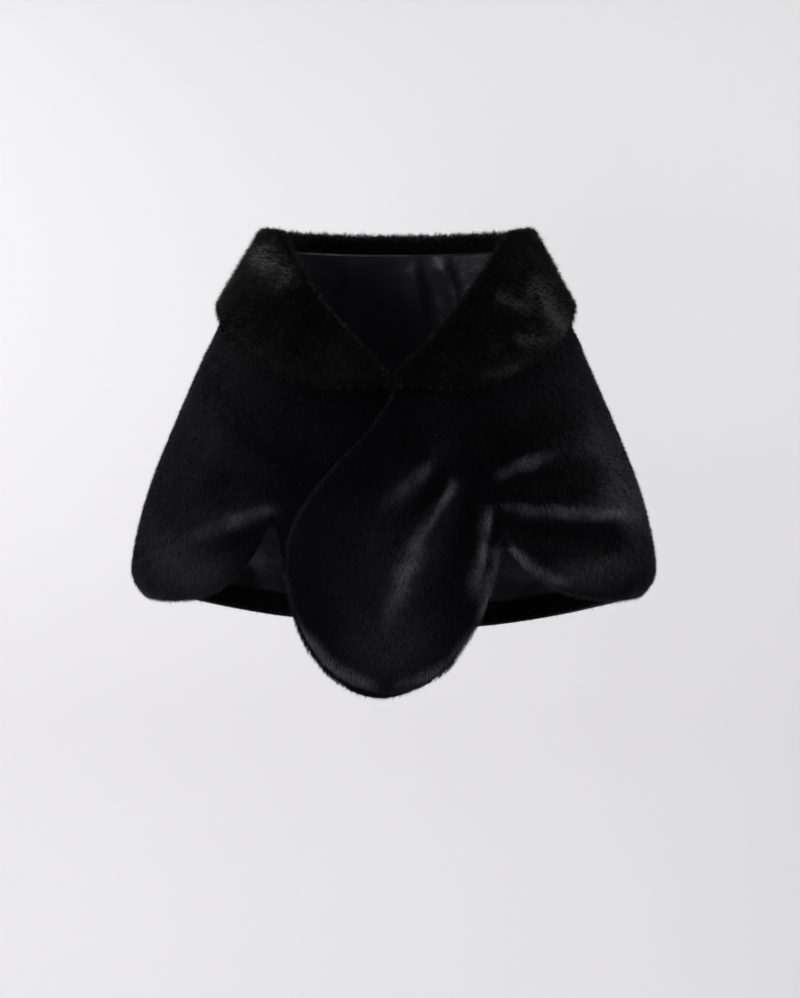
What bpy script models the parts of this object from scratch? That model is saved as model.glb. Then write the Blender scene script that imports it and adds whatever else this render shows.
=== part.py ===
"""Faux-fur shawl cape: two fronts that cross and end in round lappets, a back, a fold-over collar,
a satin lining and a hem facing. Metres, +Z up, +X to the wearer's left, -Y to the front."""
import math
from collections import namedtuple

import bmesh
import bpy
from mathutils import Vector

# Cloth
FUR_WALL = 0.010            # backing and pile, out to the tips
LINING_WALL = 0.0012
FACING_WALL = 0.005
FACING_HEIGHT = 0.030
FACING_INSET = 0.12         # share of the facing's height from the hem up to its turned edge
LINING_TOP = 0.07           # share of a grid row from the neckline down to the lining
SEAM_GAP = 0.0003
INSIDE_GAP = 0.0006         # from the back to its lining and facing
FACING_GAP = 0.0012
COLLAR_GAP = 0.0008         # from the neckline to the stand of the collar
EDGE_ROUND = 0.0035         # how far the pile bulges past a cut edge
FOLD_INSIDE = 0.7           # share of a front fold that shows on its inner face
TROUGH_INSIDE = 0.002       # how far a trough may show inside where the fronts cross
TROUGH_REACH = 0.025        # and this far beyond the crossing

# Body of the cape, level by level, to the tips of the pile
Section = namedtuple("Section", "height half_width middle front_depth back_depth")
SECTIONS = (
    Section(0.100, 0.158, 0.026, 0.050, 0.068),
    Section(0.060, 0.183, 0.022, 0.066, 0.080),
    Section(0.000, 0.216, 0.016, 0.090, 0.103),
    Section(-0.055, 0.244, 0.010, 0.112, 0.121),
    Section(-0.115, 0.273, 0.005, 0.127, 0.137),
    Section(-0.190, 0.305, 0.000, 0.144, 0.150),
    Section(-0.262, 0.335, 0.000, 0.150, 0.159),
    Section(-0.330, 0.356, 0.000, 0.150, 0.165),
    Section(-0.388, 0.367, 0.000, 0.148, 0.169),
    Section(-0.407, 0.366, 0.000, 0.147, 0.171),
    Section(-0.430, 0.347, 0.000, 0.146, 0.172),
    Section(-0.500, 0.338, 0.000, 0.143, 0.172),
    Section(-0.600, 0.330, 0.000, 0.140, 0.172),
)
SQUARENESS = 2.25           # power of the section ovals

# Neckline, collar edge and hem, by their heights
NECK_BACK = 0.050
NECK_SIDE = 0.058
NECK_V = -0.131
NECK_V_HALF = 0.002
NECK_CORNER = 0.40          # share of the front neckline that stays level on the shoulder
NECK_POWER = 0.90
HEM_BACK = -0.492
HEM_SIDE = -0.430
COLLAR_BACK = -0.045
COLLAR_SIDE = -0.030
COLLAR_DROP = 0.106
COLLAR_SWEEP = 1.15         # how soon the collar edge levels out towards the V

# Collar section
STAND_BACK = 0.014
STAND_V = 0.002
ROLL_RADIUS = 0.006
COLLAR_PUFF = 0.004
COLLAR_FLARE = 0.006        # how far its edge stands off on the shoulders

# Crossing of the fronts
LAYER = 0.013               # from one lappet to the other
LAYER_FULL = 0.020          # the upper front is raised by all of LAYER left of this place
LAYER_NONE = 0.110          # and not at all right of this one

# Fronts: places are (towards its own side, height), own side positive
Front = namedtuple("Front", "free_edge hem_edge hem_power tip_bow")
FRONT_LEFT = Front(
    free_edge=((0.002, -0.131), (-0.008, -0.156), (-0.030, -0.190), (-0.084, -0.246), (-0.132, -0.315),
               (-0.139, -0.388), (-0.112, -0.472), (-0.082, -0.511)),
    hem_edge=((0.151, -0.338), (0.146, -0.358), (0.138, -0.394), (0.114, -0.458), (0.081, -0.509)),
    hem_power=5.5, tip_bow=0.033)
FRONT_RIGHT = Front(
    free_edge=((0.002, -0.131), (-0.006, -0.156), (-0.026, -0.190), (-0.076, -0.246), (-0.112, -0.315),
               (-0.117, -0.388), (-0.098, -0.468), (-0.062, -0.517)),
    hem_edge=((0.162, -0.304), (0.152, -0.352), (0.143, -0.395), (0.134, -0.440), (0.118, -0.481),
              (0.091, -0.517)),
    hem_power=6.0, tip_bow=0.035)

# Folds: three places on the panel, half width, height at the crest, share of the length that fades
Fold = namedtuple("Fold", "start bend end half_width height fade")
FOLDS_LEFT = (
    Fold((0.130, -0.284), (0.205, -0.298), (0.335, -0.308), 0.016, 0.018, 0.30),
    Fold((0.150, -0.316), (0.225, -0.334), (0.330, -0.346), 0.017, -0.012, 0.35),
    Fold((0.118, -0.254), (0.182, -0.234), (0.245, -0.198), 0.017, 0.013, 0.45),
    Fold((0.130, -0.272), (0.200, -0.268), (0.280, -0.248), 0.016, -0.007, 0.45),
    Fold((0.066, -0.210), (0.028, -0.244), (-0.014, -0.298), 0.015, 0.011, 0.40),
    Fold((0.090, -0.238), (0.045, -0.344), (-0.014, -0.480), 0.017, 0.015, 0.40),
    Fold((0.128, -0.280), (0.139, -0.316), (0.112, -0.410), 0.013, 0.011, 0.35),
    Fold((0.112, -0.270), (0.095, -0.345), (0.050, -0.440), 0.018, -0.006, 0.40),
    Fold((0.076, -0.232), (0.034, -0.292), (-0.016, -0.370), 0.014, -0.005, 0.40),
)
FOLDS_RIGHT = (
    Fold((0.152, -0.294), (0.212, -0.300), (0.300, -0.344), 0.017, 0.016, 0.35),
    Fold((0.164, -0.320), (0.222, -0.336), (0.305, -0.382), 0.017, -0.009, 0.35),
    Fold((0.120, -0.262), (0.192, -0.246), (0.270, -0.206), 0.024, 0.009, 0.45),
    Fold((0.150, -0.274), (0.210, -0.272), (0.290, -0.286), 0.018, -0.005, 0.45),
)
FOLDS_BACK = (
    Fold((-0.062, -0.110), (-0.084, -0.300), (-0.098, -0.510), 0.040, 0.009, 0.0),
    Fold((0.058, -0.130), (0.078, -0.300), (0.104, -0.510), 0.044, 0.011, 0.0),
    Fold((0.168, -0.150), (0.212, -0.320), (0.240, -0.500), 0.034, 0.007, 0.0),
    Fold((-0.172, -0.190), (-0.205, -0.340), (-0.226, -0.500), 0.036, 0.008, 0.0),
    Fold((0.004, -0.200), (0.000, -0.350), (-0.004, -0.510), 0.030, -0.006, 0.0),
)
FOLD_RISE = 0.22            # share of a fold's length over which it comes up
FOLD_STEPS = 24

# How it hangs: wider on the wearer's left from a place across, and lower at the back hem there
Hang = namedtuple("Hang", "height wider start")
HANG = (
    Hang(0.100, 0.016, 0.070),
    Hang(0.050, 0.014, 0.080),
    Hang(0.010, 0.010, 0.100),
    Hang(-0.040, 0.011, 0.110),
    Hang(-0.100, 0.007, 0.150),
    Hang(-0.300, 0.007, 0.170),
    Hang(-0.400, 0.005, 0.170),
    Hang(-0.450, 0.003, 0.170),
    Hang(-0.600, 0.003, 0.170),
)
HANG_REACH = 0.10           # over which the extra width comes in
HEM_DROP = 0.012
DROP_ACROSS = 0.10          # over which the drop comes in, from the middle of the back
DROP_FRONT = -0.02          # from this depth backwards
DROP_DEPTH = 0.10
DROP_TOP = -0.25            # and from this height down
DROP_HEIGHT = 0.20
NECK_LIFT = 0.004
LIFT_FROM = 0.03
LIFT_HEIGHT = 0.05

# Grid steps
FRONT_ACROSS = 24
FRONT_SIDE_STEPS = 18
LAPPET_STEPS = 19
SEAM_STEPS = 8              # divides the steps down the fronts and the back
BACK_AROUND = 28
BACK_DOWN = 16
COLLAR_FALL_STEPS = 5
ROLL_STEPS = 4
STAND_STEPS = 2

LEFT, RIGHT = 1, -1


def smooth(value):
    """Eases a share from 0 to 1."""
    value = min(max(value, 0.0), 1.0)
    return value * value * (3.0 - 2.0 * value)


def mix(first, second, share):
    """Blends two numbers or two vectors."""
    return first + (second - first) * share


def profile(height, column):
    """A column of SECTIONS at any height, as a smooth curve through its rows."""
    rows = [(row.height, getattr(row, column)) for row in SECTIONS]
    height = min(max(height, rows[-1][0]), rows[0][0])
    upper = 0
    while upper < len(rows) - 2 and rows[upper + 1][0] > height:
        upper += 1

    def slope(index):
        low, high = max(index - 1, 0), min(index + 1, len(rows) - 1)
        return (rows[high][1] - rows[low][1]) / (rows[high][0] - rows[low][0])

    span = rows[upper + 1][0] - rows[upper][0]
    share = (height - rows[upper][0]) / span
    square, cube = share ** 2, share ** 3
    return ((2 * cube - 3 * square + 1) * rows[upper][1] + (cube - 2 * square + share) * span * slope(upper)
            + (3 * square - 2 * cube) * rows[upper + 1][1] + (cube - square) * span * slope(upper + 1))


def through(places, share):
    """A place at a share of the length of a smooth curve through the given places."""
    points = [Vector((place[0], place[1])) for place in places]
    lengths = [0.0]
    for first, second in zip(points, points[1:]):
        lengths.append(lengths[-1] + (second - first).length)
    wanted = min(max(share, 0.0), 1.0) * lengths[-1]
    k = 0
    while k < len(points) - 2 and lengths[k + 1] < wanted:
        k += 1
    before = points[k - 1] if k else points[0] * 2 - points[1]
    after = points[k + 2] if k + 2 < len(points) else points[-1] * 2 - points[-2]
    t = (wanted - lengths[k]) / (lengths[k + 1] - lengths[k])
    return 0.5 * (points[k] * 2 + (points[k + 1] - before) * t
                  + (before * 2 - points[k] * 5 + points[k + 1] * 4 - after) * t ** 2
                  + (points[k] * 3 - before - points[k + 1] * 3 + after) * t ** 3)


def oval_depth(across, height, column):
    """How far the section oval lies before or behind its middle at a place across it."""
    ratio = min(abs(across) / profile(height, "half_width"), 1.0)
    return profile(height, column) * (1.0 - ratio ** SQUARENESS) ** (1.0 / SQUARENESS)


def axis(height):
    """Depth of the side seams at a height, straight between the seam's even steps."""
    down = (NECK_SIDE - height) / (NECK_SIDE - HEM_SIDE) * SEAM_STEPS
    first, second = (NECK_SIDE + (HEM_SIDE - NECK_SIDE) * step / SEAM_STEPS
                     for step in (math.floor(down), math.floor(down) + 1))
    return mix(profile(first, "middle"), profile(second, "middle"), down - math.floor(down))


def body_normal(point, column):
    """Outward direction of the body at a point of it."""
    def level(height):
        width, depth = profile(height, "half_width"), profile(height, column)
        return ((abs(point.x) / width) ** SQUARENESS
                + (abs(point.y - axis(height)) / depth) ** SQUARENESS)

    width, depth = profile(point.z, "half_width"), profile(point.z, column)
    along = point.y - axis(point.z)
    step = 0.002
    return Vector((
        math.copysign(SQUARENESS * abs(point.x) ** (SQUARENESS - 1) / width ** SQUARENESS, point.x),
        math.copysign(SQUARENESS * abs(along) ** (SQUARENESS - 1) / depth ** SQUARENESS, along),
        (level(point.z + step) - level(point.z - step)) / (2 * step))).normalized()


def hung(point):
    """A point where it comes to lie as the cape hangs."""
    row = max(range(len(HANG) - 1), key=lambda i: HANG[i].height >= point.z > HANG[i + 1].height)
    upper, lower = HANG[row], HANG[row + 1]
    share = min(max((upper.height - point.z) / (upper.height - lower.height), 0.0), 1.0)
    start = mix(upper.start, lower.start, share)
    wider = mix(upper.wider, lower.wider, share) * smooth((point.x - start) / HANG_REACH)
    drop = HEM_DROP * smooth(point.x / DROP_ACROSS) * smooth((point.y - DROP_FRONT) / DROP_DEPTH)
    drop *= smooth((DROP_TOP - point.z) / DROP_HEIGHT)
    lift = NECK_LIFT * smooth((point.z - LIFT_FROM) / LIFT_HEIGHT)
    return point + Vector((wider, 0.0, lift - drop))


def front_spot(across, height, side):
    """Point of the body's front and its outward direction; across is positive on the panel's own side."""
    point = Vector((side * across, axis(height) - oval_depth(across, height, "front_depth"), height))
    return point, body_normal(point, "front_depth")


def back_spot(angle, height):
    """Point of the body's back and its outward direction; the angle is 0 at the centre, 90 at a side."""
    power = 2.0 / SQUARENESS
    across = profile(height, "half_width") * math.copysign(abs(math.sin(angle)) ** power, math.sin(angle))
    point = Vector((across, axis(height) + oval_depth(across, height, "back_depth"), height))
    return point, body_normal(point, "back_depth")


def upper_raise(x):
    """How far the upper front stands out at a place across the chest."""
    return LAYER * smooth((LAYER_NONE - x) / (LAYER_NONE - LAYER_FULL))


def fold_height(folds, across, height):
    """Sum of the folds at a place of a panel."""
    here = Vector((across, height))
    total = 0.0
    for fold in folds:
        start, bend, end = Vector(fold.start), Vector(fold.bend), Vector(fold.end)
        nearest, share = None, 0.0
        for step in range(FOLD_STEPS + 1):
            t = step / FOLD_STEPS
            spot = start * (1 - t) ** 2 + bend * (2 * t * (1 - t)) + end * t ** 2
            reach = (spot - here).length
            if nearest is None or reach < nearest:
                nearest, share = reach, t
        taper = smooth(share / FOLD_RISE)
        if fold.fade:
            taper *= smooth((1.0 - share) / fold.fade)
        total += fold.height * taper * math.exp(-(nearest / fold.half_width) ** 2)
    return total


def neck_drop(share):
    """How far the front neckline has come down, from the shoulder to the V."""
    return max(0.0, (share - NECK_CORNER) / (1.0 - NECK_CORNER)) ** NECK_POWER


def front_places(front):
    """Rows of places (across, height) of a front, from the side seam to the tip of its lappet."""
    corner, point = Vector(front.hem_edge[0]), Vector(front.free_edge[0])
    rows = []
    for i in range(FRONT_SIDE_STEPS):
        turn = i / FRONT_SIDE_STEPS
        row = []
        for j in range(FRONT_ACROSS + 1):
            down = j / FRONT_ACROSS
            side_height = mix(NECK_SIDE, HEM_SIDE, down)
            crossing = mix(point, corner, down)
            across = mix(crossing.x, profile(side_height, "half_width"), math.cos(turn * math.pi / 2))
            drop = mix(neck_drop(turn), turn ** front.hem_power, down)
            row.append(Vector((across, mix(side_height, crossing.y, drop))))
        rows.append(row)
    for i in range(LAPPET_STEPS + 1):
        along = i / LAPPET_STEPS
        free, hem = through(front.free_edge, along), through(front.hem_edge, along)
        bow = front.tip_bow * along ** 3
        rows.append([mix(free, hem, j / FRONT_ACROSS)
                     - Vector((0.0, bow * 4 * (j / FRONT_ACROSS) * (1 - j / FRONT_ACROSS)))
                     for j in range(FRONT_ACROSS + 1)])
    for _ in range(3):
        eased = [list(row) for row in rows]
        for i in range(2, len(rows) - 2):
            for j in range(1, FRONT_ACROSS):
                eased[i][j] = rows[i][j] * 0.5 + (rows[i - 1][j] + rows[i + 1][j]) * 0.25
        rows = eased
    return rows


def front_grids(front, folds, side):
    """Outer and inner points of a front."""
    outer, inner = [], []
    for i, row in enumerate(front_places(front)):
        outer.append([])
        inner.append([])
        for place in row:
            half_width = profile(place.y, "half_width")
            spot, out = front_spot(min(place.x, half_width), place.y, side)
            if i == 0:
                spot.y -= SEAM_GAP / 2
            lift = upper_raise(spot.x) if side == LEFT else upper_raise(spot.x) - LAYER
            if side == RIGHT and spot.x < LAYER_FULL:
                lift = 0.0
            fold = fold_height(folds, place.x, place.y)
            inside = FOLD_INSIDE * fold
            if side == LEFT and place.x < LAYER_NONE + TROUGH_REACH:
                inside = max(inside, -TROUGH_INSIDE)
            outer[-1].append(hung(spot + out * (lift + fold)))
            inner[-1].append(hung(spot + out * (lift + inside - FUR_WALL)))
    return outer, inner


def neck_line(rise):
    """Height of the back neckline; rise runs from 0 at the centre back to 1 at a side."""
    return mix(NECK_BACK, NECK_SIDE, rise)


def hem_line(rise):
    """Height of the back hem."""
    return mix(HEM_BACK, HEM_SIDE, rise)


def back_grids(first_depth, second_depth, columns, rows):
    """Two layers of points at given depths below the tips of the back's pile.

    Columns are counted from one side seam to the other, rows from the neckline to the hem; a row
    between two whole ones lies on the straight line from one to the other."""
    def tip(i, j):
        angle = mix(-math.pi / 2, math.pi / 2, i / BACK_AROUND)
        rise = math.sin(angle) ** 2
        spot, out = back_spot(angle, mix(neck_line(rise), hem_line(rise), j / BACK_DOWN))
        spot.y += SEAM_GAP / 2
        return spot + out * fold_height(FOLDS_BACK, spot.x, spot.z), out

    first, second = [], []
    for i in columns:
        first.append([])
        second.append([])
        for row in rows:
            upper = min(int(row), BACK_DOWN - 1)
            ends = tip(i, upper), tip(i, upper + 1)
            for layer, depth in ((first, first_depth), (second, second_depth)):
                high, low = (hung(spot - out * depth) for spot, out in ends)
                layer[-1].append(mix(high, low, row - upper))
    return first, second


def collar_spot(along, fall, side):
    """Point of the body under the collar and its outward direction.

    Along runs from -1 at the centre back over 0 at the shoulder to 1 at the V, fall from the
    neckline to the collar's edge."""
    if along <= 0.0:
        angle = (1.0 + along) * math.pi / 2
        rise = math.sin(angle) ** 2
        height = mix(neck_line(rise), mix(COLLAR_BACK, COLLAR_SIDE, rise), fall)
        return back_spot(side * angle, height)
    turn = along
    neck = mix(NECK_SIDE, NECK_V, neck_drop(turn))
    edge = COLLAR_SIDE - COLLAR_DROP * math.sin(COLLAR_SWEEP * turn * math.pi / 2)
    height = mix(neck, edge, fall)
    neck_width = mix(NECK_V_HALF, profile(NECK_SIDE, "half_width"), math.cos(turn * math.pi / 2))
    edge_width = mix(NECK_V_HALF, profile(COLLAR_SIDE, "half_width"), math.cos(turn * math.pi / 2))
    ratio = mix(neck_width / profile(neck, "half_width"), edge_width / profile(edge, "half_width"), fall)
    return front_spot(min(ratio, 1.0) * profile(height, "half_width"), height, side)


def collar_grids(side):
    """Furred and hidden points of half a collar: up the stand, over the roll and down the fall."""
    outer, inner = [], []
    half = FUR_WALL / 2
    behind = BACK_AROUND // 2
    for i in range(-behind, FRONT_SIDE_STEPS + 1):
        along = i / (FRONT_SIDE_STEPS if i > 0 else behind)
        neck, out = collar_spot(along, 0.0, side)
        below, _ = collar_spot(along, 0.08, side)
        up = (neck - below)
        up = (up - out * up.dot(out)).normalized()
        stand = mix(STAND_BACK, STAND_V, smooth(along))
        raised = upper_raise(abs(neck.x)) if neck.y < 0.0 else 0.0
        foot = neck + out * (raised - half)
        centre, facing = [], []
        for j in range(STAND_STEPS):
            centre.append(foot + up * mix(COLLAR_GAP, stand, j / STAND_STEPS))
            facing.append(-out)
        for j in range(ROLL_STEPS + 1):
            turn = math.pi * j / ROLL_STEPS
            facing.append(up * math.sin(turn) - out * math.cos(turn))
            centre.append(foot + up * stand + out * ROLL_RADIUS + facing[-1] * ROLL_RADIUS)
        for j in range(COLLAR_FALL_STEPS + 1):
            fall = j / COLLAR_FALL_STEPS
            spot, away = collar_spot(along, fall, side)
            raised = upper_raise(abs(spot.x)) if spot.y < 0.0 else 0.0
            puff = COLLAR_PUFF * math.sin(math.pi * fall)
            puff += COLLAR_FLARE * smooth(2 * fall - 1) * math.cos(along * math.pi / 2) ** 2
            centre.append(spot + away * (raised + 2 * ROLL_RADIUS - half + puff))
            facing.append(away)
        shift = Vector((side * SEAM_GAP / 2, 0.0, 0.0))
        outer.append([hung(point + turned * half + shift) for point, turned in zip(centre, facing)])
        inner.append([hung(point - turned * half + shift) for point, turned in zip(centre, facing)])
    return outer, inner


def wall(name, grids, round_edges, material):
    """Closed wall between two grids of points, with the named edges rounded.

    The edges are last for the end of the rows, upper and lower for their sides, each with the row
    from which it is rounded."""
    outer, inner = grids
    last_i, last_j = len(outer) - 1, len(outer[0]) - 1
    bm = bmesh.new()
    row_tag = bm.verts.layers.int.new("row")
    place_tag = bm.verts.layers.int.new("place")

    def sheet(points):
        made = bmesh.ops.create_grid(bm, x_segments=last_i, y_segments=last_j, size=1.0)["verts"]
        for vert in made:
            i, j = round((vert.co.x + 1) / 2 * last_i), round((vert.co.y + 1) / 2 * last_j)
            vert[row_tag], vert[place_tag] = i, j
        for vert in made:
            vert.co = points[vert[row_tag]][vert[place_tag]]

    border = ([(i, 0) for i in range(last_i)] + [(last_i, j) for j in range(last_j)]
              + [(i, last_j) for i in range(last_i, 0, -1)] + [(0, j) for j in range(last_j, 0, -1)])

    def middle(i, j):
        return (outer[i][j] + inner[i][j]) / 2

    def is_round(i, j):
        sides = {"last": i == last_i, "upper": j == 0, "lower": j == last_j}
        return any(sides[edge] and i >= from_row for edge, from_row in round_edges.items())

    def edge_point(i, j):
        if not is_round(i, j):
            return middle(i, j)
        turn = border.index((i, j))
        beside = border[(turn + 1) % len(border)], border[turn - 1]
        for place in beside:
            if place[0] == i and not is_round(*place):
                return middle(i, j) + (middle(i, j) - middle(*place)).normalized() * EDGE_ROUND
        ahead, behind = (middle(*(place if is_round(*place) else (i, j))) for place in beside)
        away = (ahead - behind).cross(outer[i][j] - inner[i][j]).normalized()
        return middle(i, j) + away * EDGE_ROUND * outward

    across = middle(last_i, 1) - middle(last_i, 0)
    along = middle(last_i, 0) - middle(last_i - 1, 0)
    outward = math.copysign(1.0, across.cross(outer[last_i][0] - inner[last_i][0]).dot(along))

    sheet(outer)
    rim = [edge for edge in bm.edges if edge.is_boundary]
    for place in (edge_point, lambda i, j: inner[i][j]):
        made = bmesh.ops.extrude_edge_only(bm, edges=rim)["geom"]
        for vert in (item for item in made if isinstance(item, bmesh.types.BMVert)):
            vert.co = place(vert[row_tag], vert[place_tag])
        rim = [item for item in made if isinstance(item, bmesh.types.BMEdge) and item.is_boundary]
    sheet(inner)
    bmesh.ops.remove_doubles(bm, verts=bm.verts[:], dist=1e-6)
    bmesh.ops.triangulate(bm, faces=bm.faces[:], quad_method="FIXED")
    bmesh.ops.recalc_face_normals(bm, faces=bm.faces[:])
    mesh = bpy.data.meshes.new(name)
    bm.to_mesh(mesh)
    bm.free()
    mesh.materials.append(material)
    made = bpy.data.objects.new(name, mesh)
    bpy.context.scene.collection.objects.link(made)
    return made


def finish(name, colour, roughness):
    """Plain material."""
    material = bpy.data.materials.new(name)
    material.use_nodes = True
    shader = material.node_tree.nodes["Principled BSDF"]
    shader.inputs["Base Color"].default_value = (*colour, 1.0)
    shader.inputs["Roughness"].default_value = roughness
    return material


def main():
    """Builds the cape."""
    for old in list(bpy.data.objects):
        bpy.data.objects.remove(old, do_unlink=True)
    fur = finish("fur_black", (0.012, 0.012, 0.016), 0.80)
    satin = finish("satin_black", (0.020, 0.020, 0.027), 0.30)

    free = {"last": 0, "upper": FRONT_SIDE_STEPS + 2, "lower": 0}
    wall("front_left", front_grids(FRONT_LEFT, FOLDS_LEFT, LEFT), free, fur)
    wall("front_right", front_grids(FRONT_RIGHT, FOLDS_RIGHT, RIGHT), free, fur)
    every = range(BACK_AROUND + 1)
    wall("back", back_grids(0.0, FUR_WALL, every, range(BACK_DOWN + 1)), {"lower": 0}, fur)
    wall("collar_left", collar_grids(LEFT), {"lower": 0}, fur)
    wall("collar_right", collar_grids(RIGHT), {"lower": 0}, fur)
    inside = FUR_WALL + INSIDE_GAP
    lined = every[1:-1]
    facing_row = BACK_DOWN - 1
    lining_rows = [LINING_TOP, *range(1, facing_row), facing_row - SEAM_GAP / FACING_HEIGHT]
    wall("lining_back", back_grids(inside, inside + LINING_WALL, lined, lining_rows), {}, satin)
    facing_rows = [facing_row, facing_row + 0.5, BACK_DOWN - FACING_INSET]
    inside = FUR_WALL + FACING_GAP
    wall("hem_facing", back_grids(inside, inside + FACING_WALL, lined, facing_rows), {"lower": 0}, fur)


main()
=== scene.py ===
"""Dresses the faux-fur shawl cape: dense pile on every furred panel, satin inside, in a plain studio."""

from __future__ import annotations

import logging
import math
from dataclasses import dataclass
from enum import Enum

import bmesh
import bpy
import numpy as np
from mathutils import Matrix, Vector
from mathutils.bvhtree import BVHTree


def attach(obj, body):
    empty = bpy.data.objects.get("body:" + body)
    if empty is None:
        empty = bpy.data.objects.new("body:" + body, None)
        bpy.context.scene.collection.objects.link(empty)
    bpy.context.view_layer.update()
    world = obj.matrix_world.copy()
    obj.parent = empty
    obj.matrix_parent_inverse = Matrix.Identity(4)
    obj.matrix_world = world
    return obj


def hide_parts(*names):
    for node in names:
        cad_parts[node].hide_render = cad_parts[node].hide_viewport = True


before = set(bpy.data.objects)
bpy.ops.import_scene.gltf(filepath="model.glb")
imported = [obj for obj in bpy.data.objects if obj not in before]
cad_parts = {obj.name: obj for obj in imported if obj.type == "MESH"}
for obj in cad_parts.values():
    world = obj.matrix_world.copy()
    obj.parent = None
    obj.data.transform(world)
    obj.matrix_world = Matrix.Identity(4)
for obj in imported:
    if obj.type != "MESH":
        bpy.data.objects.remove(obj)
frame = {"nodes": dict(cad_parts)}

Spot = tuple[float, float]
Place = tuple[float, float, float]
Colour = tuple[float, float, float]

LOG = logging.getLogger("cape")

MIDDLE_DEPTH = 0.005        # the body's axis lies this far behind the side seams
BODY_HALF_WIDTH = 0.30
BODY_HALF_DEPTH = 0.145
SEEN = [0, 2]               # across and level, which is what shows from the front or the back

WELD = 1e-6                 # points of a solid that are closer than this become one
JOIN_FACES = math.radians(50)
JOIN_SHAPE = math.radians(60)
NO_LENGTH = 1e-9            # shorter directions stay short when directions are made one long
NO_PILE = 1e-12             # a point whose furred faces add up to less than this carries no pile

NOISE_WAVES = 6
NOISE_SIZES = (0.7, 1.5)    # shortest and longest wave, as shares of the stated distance
NOISE_EVENED = 3.0          # brings the sum of the waves to about -1 to 1

BLADE_CELL = ((0.08, 0.1), (0.08, 0.9), (0.92, 0.5))    # a fibre's corners in its cell of the texture


class Nap(Enum):
    """Which way the pile of a panel lies."""

    DOWN = "down"
    OUT_AND_DOWN = "out and down"


class Finish(Enum):
    """What a face is covered with."""

    FUR = "fur"
    COLLAR_FUR = "collar fur"
    UNDERCOAT = "undercoat"
    SATIN = "satin"


class Socket(Enum):
    """Sockets of the Principled shader by name."""

    COLOUR = "Base Color"
    ROUGHNESS = "Roughness"
    SPECULAR = "Specular IOR Level"
    SPECULAR_TINT = "Specular Tint"
    SHEEN = "Sheen Weight"
    SHEEN_ROUGHNESS = "Sheen Roughness"
    SHEEN_TINT = "Sheen Tint"
    NORMAL = "Normal"


class Sum(Enum):
    """What a maths node works out."""

    PLUS = "ADD"
    TIMES = "MULTIPLY"
    TIMES_PLUS = "MULTIPLY_ADD"


Materials = dict[Finish, bpy.types.Material]


def unit(rows: np.ndarray) -> np.ndarray:
    """Rows of vectors, each made one long."""
    return rows / np.maximum(np.linalg.norm(rows, axis=1, keepdims=True), NO_LENGTH)


def levelled(rows: np.ndarray, normals: np.ndarray) -> np.ndarray:
    """Rows of vectors, laid down into a surface with these directions."""
    return rows - normals * (rows * normals).sum(axis=1, keepdims=True)


def ease(share: np.ndarray) -> np.ndarray:
    """Shares eased from 0 to 1."""
    share = np.clip(share, 0.0, 1.0)
    return share * share * (3.0 - 2.0 * share)


def outward(places: np.ndarray) -> np.ndarray:
    """Directions away from the body's axis.

    Args:
        places: rows of points.

    Returns:
        A level direction for each place.
    """
    away = np.zeros_like(places)
    away[:, 0] = places[:, 0] / BODY_HALF_WIDTH ** 2
    away[:, 1] = (places[:, 1] - MIDDLE_DEPTH) / BODY_HALF_DEPTH ** 2
    return unit(away)


def soft_noise(points: np.ndarray, wavelength: float, seed: int) -> np.ndarray:
    """Smooth noise from a few crossing waves.

    Args:
        points: places, a row each.
        wavelength: rough distance between crests.
        seed: which waves.

    Returns:
        A value of about -1 to 1 for each place.
    """
    rng = np.random.default_rng(seed)
    total = np.zeros(len(points))
    for _ in range(NOISE_WAVES):
        way = unit(rng.normal(size=(1, 3)))[0]
        size = wavelength * rng.uniform(*NOISE_SIZES)
        total += np.sin(points @ way * (2 * math.pi / size) + rng.uniform(0, 2 * math.pi))
    return total / NOISE_EVENED


def placed(name: str, data: bpy.types.ID) -> bpy.types.Object:
    """Puts a new object in the scene, at the origin.

    Args:
        name: what it is called.
        data: its mesh, light or camera.

    Returns:
        The object.
    """
    made = bpy.data.objects.new(name, data)
    bpy.context.scene.collection.objects.link(made)
    return made


def aimed(made: bpy.types.Object, place: Vector, aim: Vector) -> None:
    """Puts a light or a camera in its place and turns it to what it is aimed at."""
    made.location = place
    made.rotation_euler = (aim - place).to_track_quat("-Z", "Y").to_euler()


def shaded_smooth(mesh: bpy.types.Mesh) -> None:
    """Shades all faces of a mesh as one soft surface."""
    mesh.polygons.foreach_set("use_smooth", [True] * len(mesh.polygons))


def welded(node: bpy.types.Object) -> bmesh.types.BMesh:
    """A copy of a solid, with its points joined up and its triangles paired.

    Args:
        node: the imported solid.

    Returns:
        The copy, for the caller to shape and free.
    """
    bm = bmesh.new()
    bm.from_mesh(node.data)
    bmesh.ops.remove_doubles(bm, verts=bm.verts[:], dist=WELD)
    bmesh.ops.join_triangles(bm, faces=bm.faces[:], angle_face_threshold=JOIN_FACES,
                             angle_shape_threshold=JOIN_SHAPE)
    return bm


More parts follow.
